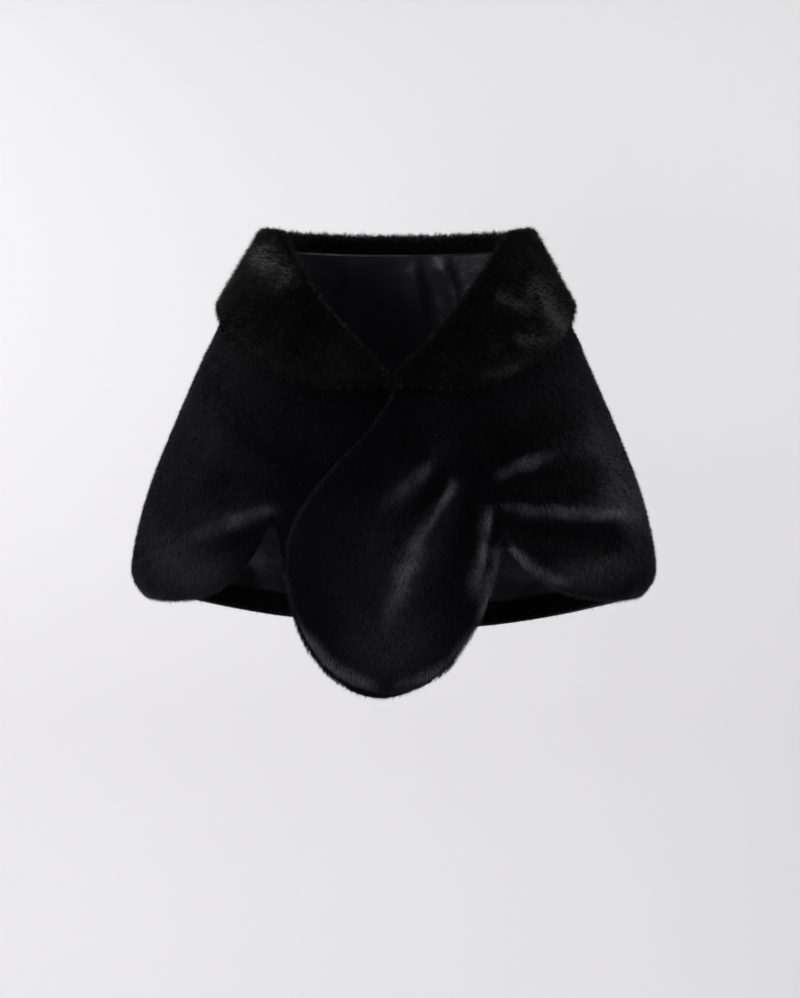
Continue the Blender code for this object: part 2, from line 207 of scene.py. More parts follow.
def bladed(name: str, blades: np.ndarray) -> bpy.types.Object:
    """One mesh object of many pointed blades, each with its own cell of the texture.

    Args:
        name: the piece's name.
        blades: the three corners of each blade.

    Returns:
        The object, at the origin.
    """
    count = len(blades)
    mesh = bpy.data.meshes.new(name)
    mesh.vertices.add(3 * count)
    mesh.vertices.foreach_set("co", blades.astype(np.float32).ravel())
    mesh.loops.add(3 * count)
    mesh.loops.foreach_set("vertex_index", np.arange(3 * count, dtype=np.int32))
    mesh.polygons.add(count)
    mesh.polygons.foreach_set("loop_start", np.arange(0, 3 * count, 3, dtype=np.int32))
    mesh.update(calc_edges=True)
    cells = math.ceil(math.sqrt(count))
    cell = np.stack([np.arange(count) % cells, np.arange(count) // cells], axis=1)
    layer = mesh.uv_layers.new(name="OFBake")
    layer.uv.foreach_set("vector", ((cell[:, None] + BLADE_CELL) / cells).astype(np.float32).ravel())
    return placed(name, mesh)


@dataclass(frozen=True)
class Wave:
    """Soft noise over a panel."""

    strength: float
    size: float
    stream: int         # sets it apart from the panel's other noise

    def at(self, places: np.ndarray, seed: int) -> np.ndarray:
        """Its value at some places of the panel that has this seed."""
        return self.strength * soft_noise(places, self.size, seed + self.stream)


WIDE_SWING = Wave(0.30, 0.110, 11)      # how the nap swings to either side
CLOSE_SWING = Wave(0.16, 0.024, 12)
WIDE_LIFT = Wave(0.10, 0.070, 13)       # how it stands up more in one place than in another
CLOSE_LIFT = Wave(0.06, 0.016, 14)
TUFT_STREAM = 15
DRIFT_ACROSS = Wave(0.003, 0.060, 21)   # how the painted light wanders off a fold's line
DRIFT_LEVEL = Wave(0.003, 0.050, 22)
BROKEN_SHINE = Wave(0.30, 0.034, 23)    # how the painted highlight is broken up along the line


@dataclass(frozen=True)
class Crease:
    """A soft trough or ridge on a panel, or only a band of painted highlight or shade, along a bent line
    seen from the front or the back.
    """

    start: Spot
    bend: Spot
    end: Spot
    half_width: float
    height: float           # below nothing for a trough
    painted_light: float = 0.0      # painted highlight, or painted shade where below nothing
    rise: float = 0.25      # share of the line over which it comes up
    fade: float = 0.35      # and over which it runs out
    steps: int = 25
    margin: float = 3.0     # half widths after which nothing is left of it

    def measure(self, places: np.ndarray) -> tuple[np.ndarray, np.ndarray]:
        """How much of it there is at some places, and which way that grows.

        Args:
            places: rows of (across, level).

        Returns:
            Shares from 0 well away to 1 on its line, and their slopes.
        """
        steps = np.linspace(0.0, 1.0, self.steps)
        line = (np.outer((1 - steps) ** 2, self.start) + np.outer(2 * steps * (1 - steps), self.bend)
                + np.outer(steps ** 2, self.end))
        share = np.zeros(len(places))
        slope = np.zeros((len(places), 2))
        margin = self.margin * self.half_width
        near = np.flatnonzero(((places > line.min(axis=0) - margin)
                               & (places < line.max(axis=0) + margin)).all(axis=1))
        offsets = places[near, None, :] - line[None]
        squares = (offsets ** 2).sum(axis=2)
        closest = squares.argmin(axis=1)
        rows = np.arange(len(near))
        along = steps[closest]
        taper = ease(along / self.rise) * (ease((1.0 - along) / self.fade) if self.fade else 1.0)
        share[near] = taper * np.exp(-squares[rows, closest] / self.half_width ** 2)
        slope[near] = -2.0 * offsets[rows, closest] / self.half_width ** 2 * share[near, None]
        return share, slope


class FinishNodes:
    """A new material and the node steps that the finishes share."""

    def __init__(self, name: str) -> None:
        """Starts from the material's own shader.

        Args:
            name: what the material is called.
        """
        self.material = bpy.data.materials.new(name)
        self.material.use_nodes = True
        self.nodes = self.material.node_tree.nodes
        self.links = self.material.node_tree.links
        self.shader = self.nodes["Principled BSDF"]

    def feed(self, socket: bpy.types.NodeSocket, value: bpy.types.NodeSocket | Colour | float) -> None:
        """Links a socket to another one, or gives it a colour or a number.

        Args:
            socket: the socket to feed.
            value: what it gets.
        """
        if isinstance(value, bpy.types.NodeSocket):
            self.links.new(value, socket)
        elif isinstance(value, tuple):
            socket.default_value = (*value, 1.0)
        else:
            socket.default_value = value

    def step(self, kind: str, inputs: dict, output: str, **options: object) -> bpy.types.NodeSocket:
        """Adds a node.

        Args:
            kind: which node.
            inputs: what its sockets get, by name or number.
            output: the socket that is handed on.
            **options: the node's own settings, made before its sockets are fed.

        Returns:
            The socket that is handed on.
        """
        node = self.nodes.new(kind)
        for option, choice in options.items():
            setattr(node, option, choice)
        for socket, value in inputs.items():
            self.feed(node.inputs[socket], value)
        return node.outputs[output]

    def attribute(self, title: str) -> bpy.types.NodeSocket:
        """A value that the mesh carries."""
        return self.step("ShaderNodeAttribute", {}, "Fac", attribute_name=title)

    def noise(self, scale: float, detail: float) -> bpy.types.NodeSocket:
        """Noise through the piece itself."""
        place = self.step("ShaderNodeTexCoord", {}, "Object")
        return self.step("ShaderNodeTexNoise", {"Vector": place, "Scale": scale, "Detail": detail}, "Fac")

    def sum(self, how: Sum, *values: bpy.types.NodeSocket | float,
            clamp: bool = False) -> bpy.types.NodeSocket:
        """A sum of two or three values."""
        return self.step("ShaderNodeMath", dict(enumerate(values)), "Value",
                         operation=how.value, use_clamp=clamp)

    def blend(self, share: bpy.types.NodeSocket, first: bpy.types.NodeSocket | Colour,
              second: Colour) -> bpy.types.NodeSocket:
        """A colour between two others."""
        inputs = {"Factor": share, "A": first, "B": second}
        return self.step("ShaderNodeMix", inputs, "Result", data_type="RGBA")

    def bump(self, height: bpy.types.NodeSocket, strength: float, distance: float) -> bpy.types.NodeSocket:
        """The surface's direction, roughened."""
        inputs = {"Height": height, "Strength": strength, "Distance": distance}
        return self.step("ShaderNodeBump", inputs, "Normal")

    def dress(self, values: dict) -> bpy.types.Material:
        """Feeds the shader.

        Args:
            values: what each of its sockets gets.

        Returns:
            The finished material.
        """
        for socket, value in values.items():
            self.feed(self.shader.inputs[socket.value], value)
        return self.material


@dataclass(frozen=True)
class FurFinish:
    """Black faux fur, with painted shade at the roots, painted highlight and shade on the folds, and a dull
    sheen along the fibres.
    """

    name: str
    # painted shade: the fibres darken from the tip colour to this one at their roots
    root: Colour
    tip: Colour
    painted_highlight: Colour              # painted highlight on ridges and rims
    tint: Colour
    roughness: float
    specular: float
    sheen: float
    patch_scale: float
    patch_detail: float = 2.0
    patch_share: float = 0.5
    sheen_roughness: float = 0.42

    def make(self) -> bpy.types.Material:
        """Builds the material from the fibres' own attributes, which carry the painted shade at the roots
        and the painted highlight and shade of the folds, and a slow patchiness.

        Returns:
            The material.
        """
        tree = FinishNodes(self.name)
        lock = tree.attribute("lock")
        painted_light = tree.attribute("painted_light")
        patch = tree.noise(self.patch_scale, self.patch_detail)
        # painted shade: each fibre darkens from its tip to its root, times its own random tone
        lock_and_root_shade = tree.sum(Sum.TIMES, lock, tree.attribute("along"))
        shade = tree.sum(Sum.TIMES_PLUS, patch, self.patch_share, lock_and_root_shade)
        # painted shade: the troughs pull the fibres towards the root colour
        painted_shade = tree.sum(Sum.PLUS, painted_light, 1.0, clamp=True)
        plain = tree.blend(tree.sum(Sum.TIMES, shade, painted_shade), self.root, self.tip)
        # painted highlight: the ridges and rims blend towards a pale colour
        painted_highlight_share = tree.sum(Sum.TIMES, painted_light, lock, clamp=True)
        return tree.dress({
            Socket.COLOUR: tree.blend(painted_highlight_share, plain, self.painted_highlight),
            Socket.ROUGHNESS: self.roughness,
            Socket.SPECULAR: self.specular,
            Socket.SHEEN: self.sheen,
            Socket.SHEEN_ROUGHNESS: self.sheen_roughness,
            Socket.SHEEN_TINT: self.tint,
        })


@dataclass(frozen=True)
class UndercoatFinish:
    """The dense, matt ground of the pile, between the fibres."""

    name: str
    dark: Colour
    light: Colour
    grain: float = 900.0
    detail: float = 6.0
    bump: float = 0.002
    strength: float = 0.6
    roughness: float = 0.8
    specular: float = 0.05
    sheen: float = 0.02
    sheen_roughness: float = 0.45
    tint: Colour = (0.85, 0.88, 1.0)

    def make(self) -> bpy.types.Material:
        """Builds the material from a fine grain that also roughens the surface.

        Returns:
            The material.
        """
        tree = FinishNodes(self.name)
        grain = tree.noise(self.grain, self.detail)
        return tree.dress({
            Socket.COLOUR: tree.blend(grain, self.dark, self.light),
            Socket.NORMAL: tree.bump(grain, self.strength, self.bump),
            Socket.ROUGHNESS: self.roughness,
            Socket.SPECULAR: self.specular,
            Socket.SHEEN: self.sheen,
            Socket.SHEEN_ROUGHNESS: self.sheen_roughness,
            Socket.SHEEN_TINT: self.tint,
        })


@dataclass(frozen=True)
class SatinFinish:
    """Black satin with a soft bluish highlight."""

    name: str
    dark: Colour
    light: Colour
    roughness: float = 0.36
    specular: float = 0.44
    tint: Colour = (0.86, 0.86, 1.0)
    rumple: float = 16.0
    detail: float = 3.0
    bump: float = 0.012
    strength: float = 0.35

    def make(self) -> bpy.types.Material:
        """Builds the material from slow rumples.

        Returns:
            The material.
        """
        tree = FinishNodes(self.name)
        rumple = tree.noise(self.rumple, self.detail)
        return tree.dress({
            Socket.COLOUR: tree.blend(rumple, self.dark, self.light),
            Socket.NORMAL: tree.bump(rumple, self.strength, self.bump),
            Socket.ROUGHNESS: self.roughness,
            Socket.SPECULAR: self.specular,
            Socket.SPECULAR_TINT: self.tint,
        })


FINISHES = {
    # The body's fur has a bluish tip, highlight and sheen tint, and the collar's copy of the same fur a
    # darker, neutral one: painted light, the bluish cast of the light on the body and painted shade on the
    # collar.
    Finish.FUR: FurFinish(
        "fur_fibres", root=(0.0003, 0.0003, 0.0005), tip=(0.0034, 0.0034, 0.0060),
        painted_highlight=(0.165, 0.165, 0.190), tint=(0.78, 0.81, 1.0),
        roughness=0.50, specular=0.04, sheen=0.06, patch_scale=11.0),
    Finish.COLLAR_FUR: FurFinish(
        "collar_fibres", root=(0.0002, 0.0002, 0.0003), tip=(0.0020, 0.0021, 0.0023),
        painted_highlight=(0.110, 0.110, 0.114), tint=(0.95, 0.97, 1.0),
        roughness=0.50, specular=0.06, sheen=0.04, patch_scale=14.0),
    Finish.UNDERCOAT: UndercoatFinish(
        "fur_undercoat", dark=(0.0003, 0.0003, 0.0004), light=(0.0012, 0.0012, 0.0018)),
    Finish.SATIN: SatinFinish(
        "satin_lining", dark=(0.0016, 0.0016, 0.0026), light=(0.0028, 0.0028, 0.0044)),
}


@dataclass(frozen=True)
class Pile:
    """Sizes of the fibres of a panel."""

    fibres: int
    length: float = 0.0074
    lengths: Spot = (0.70, 1.15)    # shortest and longest, as shares of the length
    width: float = 0.00056
    widths: Spot = (0.7, 1.3)
    twist: float = 0.5
    lift: float = 0.62              # how far the fibres stand up
    least_lift: float = 0.18
    lay: float = 0.70               # how far they lie along the nap
    stray: float = 0.17
    short_of_tip: float = 0.0008    # how far most tips stay below the solid's surface
    uneven: float = 0.0007
    ruffle: float = 0.16
    tuft: float = 0.0008
    tuft_size: float = 0.0055
    guard_share: float = 0.13       # share of longer hairs that stand out of the pile
    guard_lift: float = 0.45
    guard_proud: float = 0.0034
    roll_steps: int = 4
    locks: Spot = (0.30, 0.86)      # darkest and lightest fibre


class Surroundings:
    """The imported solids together, to find which faces something lies against."""

    start: float = 5e-5         # a look ahead starts this far off the surface
    start_inside: float = 2e-4  # and a look through a wall this far inside it
    own_share: float = 0.3      # a node's own folds count as close within this share of the reach

    def __init__(self, nodes: dict[str, bpy.types.Object]) -> None:
        """Reads every node's faces into one search tree and one of its own for each.

        Args:
            nodes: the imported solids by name.
        """
        points: list[Vector] = []
        faces: list[tuple[int, ...]] = []
        self.owner: list[str] = []
        self.own: dict[str, BVHTree] = {}
        for name, node in nodes.items():
            first = len(points)
            own_points = [vert.co.copy() for vert in node.data.vertices]
            own_faces = [tuple(face.vertices) for face in node.data.polygons]
            self.own[name] = BVHTree.FromPolygons(own_points, own_faces)
            points.extend(own_points)
            faces.extend(tuple(first + index for index in face) for face in own_faces)
            self.owner.extend([name] * len(own_faces))
        self.all = BVHTree.FromPolygons(points, faces)

    def ahead(self, node: str, place: np.ndarray, reach: float) -> tuple[str | None, float]:
        """What lies straight in front of a place on a node.

        Args:
            node: the node that the place lies on.
            place: the point.
            reach: how far to look.

        Returns:
            The node that is met first, or None, and how far off it is.
        """
        spot, normal, _, _ = self.own[node].find_nearest(Vector(place))
        _, _, face, far = self.all.ray_cast(spot + normal * self.start, normal, reach)
        return (None, reach) if face is None else (self.owner[face], far)

    def open_from(self, node: str, places: np.ndarray, reach: float) -> np.ndarray:
        """Which places on a node have nothing close in front of them.

        Args:
            node: the node that the places lie on.
            places: rows of points.
            reach: how far counts as close.

        Returns:
            True for each open place.
        """
        met = [self.ahead(node, place, reach) for place in places]
        return np.array([name is None or (name == node and far > self.own_share * reach)
                         for name, far in met])

    def sewn(self, node: str, places: np.ndarray, reach: float) -> np.ndarray:
        """Which places on a node lie against another node, as at a seam.

        Args:
            node: the node that the places lie on.
            places: rows of points.
            reach: how far apart the two may lie.

        Returns:
            True for each place at a seam.
        """
        return np.array([self.ahead(node, place, reach)[0] not in (None, node) for place in places])

    def thickness(self, node: str, places: np.ndarray, outs: np.ndarray, most: float) -> np.ndarray:
        """How thick a node's wall is behind some places.

        Args:
            node: the node that the places lie on.
            places: rows of points.
            outs: directions away from the wall.
            most: the thickness given where the wall ends further on.

        Returns:
            The thickness at each place.
        """
        answer = np.full(len(places), most)
        for index, (place, out) in enumerate(zip(places, outs)):
            spot, _, _, _ = self.own[node].find_nearest(Vector(place))
            inward = -Vector(out)
            far = self.own[node].ray_cast(spot + inward * self.start_inside, inward, most)[3]
            if far is not None:
                answer[index] = far
        return answer


@dataclass
class Strewn:
    """Spots strewn over a ground: the three points around each, and its share of each point."""

    points: np.ndarray
    shares: np.ndarray

    def of(self, values: np.ndarray) -> np.ndarray:
        """What the ground's points have, carried over to the spots."""
        return np.einsum("ij...,ij->i...", values[self.points], self.shares)


@dataclass
class Ground:
    """The surface that a pile grows from, as rows of numbers."""

    points: np.ndarray
    normals: np.ndarray
    corners: np.ndarray
    edges: np.ndarray

    @classmethod
    def read(cls, mesh: bpy.types.Mesh) -> Ground:
        """Reads a mesh.

        Args:
            mesh: the panel's mesh.

        Returns:
            Its points, their directions, its triangles and its edges.
        """
        mesh.calc_loop_triangles()
        tables = []
        for source, title, kind, across in ((mesh.vertices, "co", np.float64, 3),
                                            (mesh.vertex_normals, "vector", np.float64, 3),
                                            (mesh.loop_triangles, "vertices", np.int32, 3),
                                            (mesh.edges, "vertices", np.int32, 2)):
            table = np.empty(len(source) * across, dtype=kind)
            source.foreach_get(title, table)
            tables.append(table.reshape(-1, across))
        return cls(*tables)

    def centres(self) -> np.ndarray:
        """The middles of the triangles."""
        return self.points[self.corners].mean(axis=1)

    def spans(self) -> np.ndarray:
        """The triangles' directions, each as long as twice its area."""
        first, second, third = (self.points[self.corners[:, corner]] for corner in range(3))
        return np.cross(second - first, third - first)

    def gathered(self, chosen: np.ndarray) -> np.ndarray:
        """Directions of some triangles, summed at their points.

        Args:
            chosen: True for each triangle that counts.

        Returns:
            A sum for each point, of no length where no chosen triangle meets it.
        """
        spans = self.spans()[chosen]
        total = np.zeros_like(self.points)
        for corner in range(3):
            np.add.at(total, self.corners[chosen, corner], spans)
        return total

    def strewn(self, chosen: np.ndarray, count: int, rng: np.random.Generator) -> Strewn:
        """Strews spots evenly over some triangles.

        Args:
            chosen: True for each triangle that gets spots.
            count: how many spots.
            rng: the panel's random draws.

        Returns:
            The spots.
        """
        areas = np.linalg.norm(self.spans()[chosen], axis=1)
        picked = self.corners[chosen][rng.choice(len(areas), count, p=areas / areas.sum())]
        first, second = rng.random(count), rng.random(count)
        over = first + second > 1.0
        first[over], second[over] = 1.0 - first[over], 1.0 - second[over]
        return Strewn(picked, np.stack([1.0 - first - second, first, second], axis=1))

    def half_area(self) -> float:
        """Half of its area, which is about one side of the panel."""
        return float(np.linalg.norm(self.spans(), axis=1).sum() / 4)


@dataclass
class FurPanel:
    """One furred panel: its ground replaces the solid and carries the pile."""

    node: str
    pile: Pile
    nap: Nap
    flat: Spot
    area: float
    lined: bool = False
    creases: tuple[Crease, ...] = ()
    seed: int = 1
    fur: Finish = Finish.FUR
    front_only: bool = False        # creases lie on the front of a piece that goes round to the back
    front_fade: float = 0.03
    inset: float = 0.0050           # how far the ground lies below the solid's surface
    inset_share: float = 0.55       # but never deeper in the wall than this
    wall_left: float = 0.0015       # what a trough leaves of the wall
    thickest: float = 0.020
    reach: float = 0.0095           # pile grows where nothing else is this close
    inside: float = -0.35           # a lined panel has no pile on faces turned in more than this
    satin_inside: float = -0.5      # and satin on those turned in more than this
    sharp: float = math.radians(72)
    seam_reach: float = 0.0008
    seam_pull: float = 0.00014      # each side of a seam closes nearly half the gap between the solids
    slide_rounds: int = 3
    roll_weight: float = 0.5
    nap_out: float = 0.9
    nap_least: float = 0.35
    ridge: float = 0.02             # painted highlight is broken up on creases narrower than this

    def build(self, around: Surroundings, finishes: Materials) -> None:
        """Args:
            around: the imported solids.
            finishes: materials by name.
        """
        made = self.smoothed()
        ground = Ground.read(made.data)
        centres = ground.centres()
        furred = around.open_from(self.node, centres, self.reach)
        if self.lined:
            furred &= (unit(ground.spans()) * outward(centres)).sum(axis=1) >= self.inside
        outs = ground.gathered(furred)
        bare = np.linalg.norm(outs, axis=1) < NO_PILE
        outs = np.where(bare[:, None], ground.normals, unit(outs))
        thick = around.thickness(self.node, ground.points, outs, self.thickest)
        inset = np.minimum(self.inset, self.inset_share * thick)
        deepest = -np.maximum(thick - inset - self.wall_left, 0.0)
        pile = self.grow(ground, outs, self.rolled(outs, bare, ground.edges), furred, deepest)
        pile.data.materials.append(finishes[self.fur])

        rise = np.maximum(self.relief(ground.points, outs)[0], deepest)
        shift = np.where(bare[:, None], 0.0, outs * (rise - inset)[:, None])
        shift = self.slid(shift, bare, ground)
        sewn = around.sewn(self.node, centres, self.seam_reach)
        shift += unit(ground.gathered(sewn)) * self.seam_pull
        made.data.vertices.foreach_set("co", (ground.points + shift).ravel())
        self.dress(made.data, bare, finishes)
        self.declare(made, pile)
        LOG.info("%s: %d fibres, half its area %.3f m2",
                 self.node, len(pile.data.polygons), ground.half_area())

    def smoothed(self) -> bpy.types.Object:
        """A welded, once subdivided copy of the panel's solid.

        Returns:
            The new object, at the origin.
        """
        bm = welded(frame["nodes"][self.node])
        kept = bm.edges.layers.float.new("crease_edge")
        for edge in bm.edges:
            if len(edge.link_faces) == 2 and edge.calc_face_angle() > self.sharp:
                edge[kept] = 1.0
        name = self.node + "_ground"
        mesh = bpy.data.meshes.new(name)
        bm.to_mesh(mesh)
        bm.free()
        made = placed(name, mesh)
        smooth = made.modifiers.new("smooth", "SUBSURF")
        smooth.levels = smooth.render_levels = 1
        bpy.context.view_layer.update()
        shaped = bpy.data.meshes.new_from_object(made.evaluated_get(bpy.context.evaluated_depsgraph_get()))
        made.modifiers.clear()
        made.data = shaped
        shaped.name = name
        bpy.data.meshes.remove(mesh)
        shaded_smooth(shaped)
        return made

    def slid(self, shift: np.ndarray, bare: np.ndarray, ground: Ground) -> np.ndarray:
        """Lets the unfurred points next to a rim slide along the ground as the rim draws in.

        Args:
            shift: how each point moves.
            bare: which points are not furred.
            ground: the panel's surface.

        Returns:
            The moves of all points.
        """
        edges = ground.edges
        for _ in range(self.slide_rounds):
            total = np.zeros_like(shift)
            count = np.zeros(len(shift))
            for one, other in ((0, 1), (1, 0)):
                np.add.at(total, edges[:, one], shift[edges[:, other]])
                np.add.at(count, edges[:, one], 1.0)
            mean = total / np.maximum(count, 1.0)[:, None]
            shift = np.where(bare[:, None], levelled(mean, ground.normals), shift)
        return shift

    def rolled(self, outs: np.ndarray, bare: np.ndarray, edges: np.ndarray) -> np.ndarray:
        """Directions of the pile's surface, which rolls over a rim more softly than the ground.

        Args:
            outs: the ground's directions.
            bare: which points are not furred.
            edges: pairs of neighbouring points.

        Returns:
            The softened directions.
        """
        kept = edges[~bare[edges].any(axis=1)]
        for _ in range(self.pile.roll_steps):
            total = outs.copy()
            for one, other in ((0, 1), (1, 0)):
                np.add.at(total, kept[:, one], self.roll_weight * outs[kept[:, other]])
            outs = unit(total)
        return outs

    def relief(self, places: np.ndarray, normals: np.ndarray) -> tuple[np.ndarray, np.ndarray]:
        """Height of the creases and the directions that they tilt the surface to.

        Args:
            places: rows of points on the panel.
            normals: the panel's directions there.

        Returns:
            The heights and the tilted directions.
        """
        height = np.zeros(len(places))
        slope = np.zeros((len(places), 3))
        here = self.creased(places)
        for crease in self.creases:
            share, grows = crease.measure(places[:, SEEN])
            height += crease.height * share * here
            slope[:, SEEN] += crease.height * grows * here[:, None]
        return height, unit(normals - levelled(slope, normals))

    def creased(self, places: np.ndarray) -> np.ndarray:
        """How far the creases count at some places, from 0 to 1."""
        front = ease((MIDDLE_DEPTH - places[:, 1]) / self.front_fade)
        return front if self.front_only else np.ones(len(places))

    def painted_light(self, places: np.ndarray) -> np.ndarray:
        """The painted light of the folds: painted highlight on the ridges, painted shade in the troughs.

        Args:
            places: rows of points on the panel.

        Returns:
            From 1, full painted highlight, to -1, full painted shade.
        """
        seen = places[:, SEEN]
        seen[:, 0] += DRIFT_ACROSS.at(places, self.seed)
        seen[:, 1] += DRIFT_LEVEL.at(places, self.seed)
        broken = 1.0 + BROKEN_SHINE.at(places, self.seed)
        total = np.zeros(len(places))
        for crease in self.creases:
            if crease.painted_light:
                ridge = crease.painted_light > 0 and crease.half_width < self.ridge
                total += crease.painted_light * crease.measure(seen)[0] * (broken if ridge else 1.0)
        return np.clip(total * self.creased(places), -1.0, 1.0)

    def nap_at(self, places: np.ndarray, normals: np.ndarray) -> np.ndarray:
        """Which way the pile lies, along the surface.

        Args:
            places: rows of points.
            normals: the surface's directions there.

        Returns:
            Directions in the surface, about one long except where the surface faces along the nap.
        """
        way = np.zeros_like(places)
        way[:, 2] = -1.0
        if self.nap is Nap.OUT_AND_DOWN:
            way += self.nap_out * outward(places)
        way = levelled(way, normals)
        return way / np.maximum(np.linalg.norm(way, axis=1, keepdims=True), self.nap_least)

    def grow(self, ground: Ground, outs: np.ndarray, rolled: np.ndarray, furred: np.ndarray,
             deepest: np.ndarray) -> bpy.types.Object:
        """Grows the pile, with its tips on the solid's surface.

        Args:
            ground: the panel's surface.
            outs: its directions at its points.
            rolled: the directions of the pile's surface there.
            furred: which triangles carry pile.
            deepest: how far in a trough may go at each point.

        Returns:
            The pile as one mesh object.
        """
        rng = np.random.default_rng(self.seed)
        pile = self.pile
        count = pile.fibres // 1
        strewn = ground.strewn(furred, count, rng)
        spots = strewn.of(ground.points)
        _, facing = self.relief(spots, unit(strewn.of(rolled)))
        rise, outs = self.relief(spots, unit(strewn.of(outs)))
        rise = np.maximum(rise, strewn.of(deepest))
        rise += Wave(pile.tuft, pile.tuft_size, TUFT_STREAM).at(spots, self.seed)

        made = bladed(self.node + "_pile", self.combed(spots, outs, rise, rng))
        # each fibre carries the painted highlight or shade of its folds, and its place from root to tip for
        # the painted shade at the root
        for title, values in (("along", np.tile((0.0, 0.0, 1.0), count)),
                              ("lock", np.repeat(rng.uniform(*pile.locks, count), 3)),
                              ("painted_light", np.repeat(self.painted_light(spots), 3))):
            layer = made.data.attributes.new(title, "FLOAT", "POINT")
            layer.data.foreach_set("value", values.astype(np.float32))
        turned = np.repeat(unit(facing + rng.normal(0.0, pile.ruffle, (count, 3))), 3, axis=0)
        layer = made.data.attributes.new("custom_normal", "FLOAT_VECTOR", "POINT")
        layer.data.foreach_set("vector", turned.astype(np.float32).ravel())
        return made

    def combed(self, spots: np.ndarray, outs: np.ndarray, rise: np.ndarray,
               rng: np.random.Generator) -> np.ndarray:
        """Lays the fibres along the nap as slim pointed blades.

        Args:
            spots: places on the solid's surface that the tips belong to.
            outs: the pile's directions there.
            rise: how far the pile stands above those places.
            rng: the panel's random draws.

        Returns:
            Two corners at the root and one at the tip of each fibre.
        """
        pile = self.pile
        count = len(spots)
        nap = self.nap_at(spots, outs)
        swing = WIDE_SWING.at(spots, self.seed) + CLOSE_SWING.at(spots, self.seed)
        nap = nap * np.cos(swing)[:, None] + np.cross(outs, nap) * np.sin(swing)[:, None]
        lift = pile.lift * (1.0 + WIDE_LIFT.at(spots, self.seed) + CLOSE_LIFT.at(spots, self.seed))
        guard = rng.random(count) < pile.guard_share
        lift = np.where(guard, lift + pile.guard_lift, lift)
        ways = unit(outs * np.maximum(lift, pile.least_lift)[:, None] + nap * pile.lay
                    + rng.normal(0.0, pile.stray, (count, 3)))
        lengths = pile.length * rng.uniform(*pile.lengths, count)
        deep = rng.normal(pile.short_of_tip, pile.uneven, count)
        deep = np.where(guard, -rng.uniform(0.0, pile.guard_proud, count), deep)
        tips = spots + outs * (rise - np.maximum(deep, -pile.guard_proud))[:, None]
        roots = tips - ways * lengths[:, None]
        widths = pile.width * rng.uniform(*pile.widths, count) * 1.0
        flat = unit(np.cross(ways, outs))
        roll = rng.normal(0.0, pile.twist, count)[:, None]
        sides = (flat * np.cos(roll) + np.cross(ways, flat) * np.sin(roll)) * widths[:, None] / 2
        return np.stack([roots - sides, roots + sides, tips], axis=1)

    def dress(self, mesh: bpy.types.Mesh, bare: np.ndarray, finishes: Materials) -> None:
        """Gives the ground its undercoat, and satin to the inside of a lined panel.

        Args:
            mesh: the ground's mesh.
            bare: which points are not furred.
            finishes: materials by name.
        """
        mesh.materials.clear()
        mesh.materials.append(finishes[Finish.UNDERCOAT])
        if self.lined:
            mesh.materials.append(finishes[Finish.SATIN])
            aways = outward(np.array([face.center[:] for face in mesh.polygons]))
            for face, away in zip(mesh.polygons, aways):
                turned_in = face.normal.dot(Vector(away)) < self.satin_inside
                face.material_index = 1 if turned_in and bare[list(face.vertices)].all() else 0
        mesh.update()

    def declare(self, ground: bpy.types.Object, pile: bpy.types.Object) -> None:
        """Hangs the two pieces on the body's root and hides the solid that they replace.

        Args:
            ground: the panel's ground.
            pile: the pile on it.
        """
        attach(ground, "root")
        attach(pile, "root")
        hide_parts(self.node)


@dataclass
class Lining:
    """The satin inside the back, rumpled a little where it is not pulled tight."""

    node: str
    flat: Spot
    area: float
    rumples: tuple[Crease, ...]
    longest_edge: float = 0.004         # longer edges are cut, so that the rumples can bend them
    cuts: int = 2
    sharp: float = math.radians(25)
    edge_width: float = 0.0014          # faces narrower than this, and turned to the side, are its cut edge
    edge_turn: float = 0.5

    def build(self, finishes: Materials) -> None:
        """Args:
            finishes: materials by name.
        """
        bm = welded(frame["nodes"][self.node])
        long_edges = [edge for edge in bm.edges if edge.calc_length() > self.longest_edge]
        bmesh.ops.subdivide_edges(bm, edges=long_edges, cuts=self.cuts, use_grid_fill=True)
        bm.normal_update()
        places = np.array([vert.co[:] for vert in bm.verts])
        heights = sum(crease.height * crease.measure(places[:, SEEN])[0] for crease in self.rumples)
        for vert, height, away in zip(bm.verts, heights, outward(places)):
            vert.co -= Vector(away) * max(height, 0.0)
        mesh = bpy.data.meshes.new("lining")
        bm.to_mesh(mesh)
        bm.free()
        shaded_smooth(mesh)
        mesh.set_sharp_from_angle(angle=self.sharp)
        self.dress(mesh, finishes)
        made = placed("lining", mesh)
        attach(made, "root")
        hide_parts(self.node)
        LOG.info("lining: %d faces", len(mesh.polygons))

    def dress(self, mesh: bpy.types.Mesh, finishes: Materials) -> None:
        """Gives the lining its satin, and its cut edge the dull black of the fur's ground.

        Args:
            mesh: the lining's mesh.
            finishes: materials by name.
        """
        mesh.materials.append(finishes[Finish.SATIN])
        mesh.materials.append(finishes[Finish.UNDERCOAT])
        aways = outward(np.array([face.center[:] for face in mesh.polygons]))
        for face, away in zip(mesh.polygons, aways):
            spots = [mesh.vertices[index].co for index in face.vertices]
            narrow = min((one - other).length for one, other in zip(spots, spots[1:] + spots[:1]))
            edge = narrow < self.edge_width and abs(face.normal.dot(Vector(away))) < self.edge_turn
            face.material_index = 1 if edge else 0


@dataclass(frozen=True)
class SoftLight:
    """A soft box of light."""

    name: str
    place: Place
    aim: Place
    size: float
    power: float

    def build(self) -> None:
        """Hangs the light."""
        lamp = bpy.data.lights.new(self.name, "AREA")
        lamp.shape = "SQUARE"
        lamp.size = self.size
        lamp.energy = self.power
        aimed(placed(self.name, lamp), Vector(self.place), Vector(self.aim))


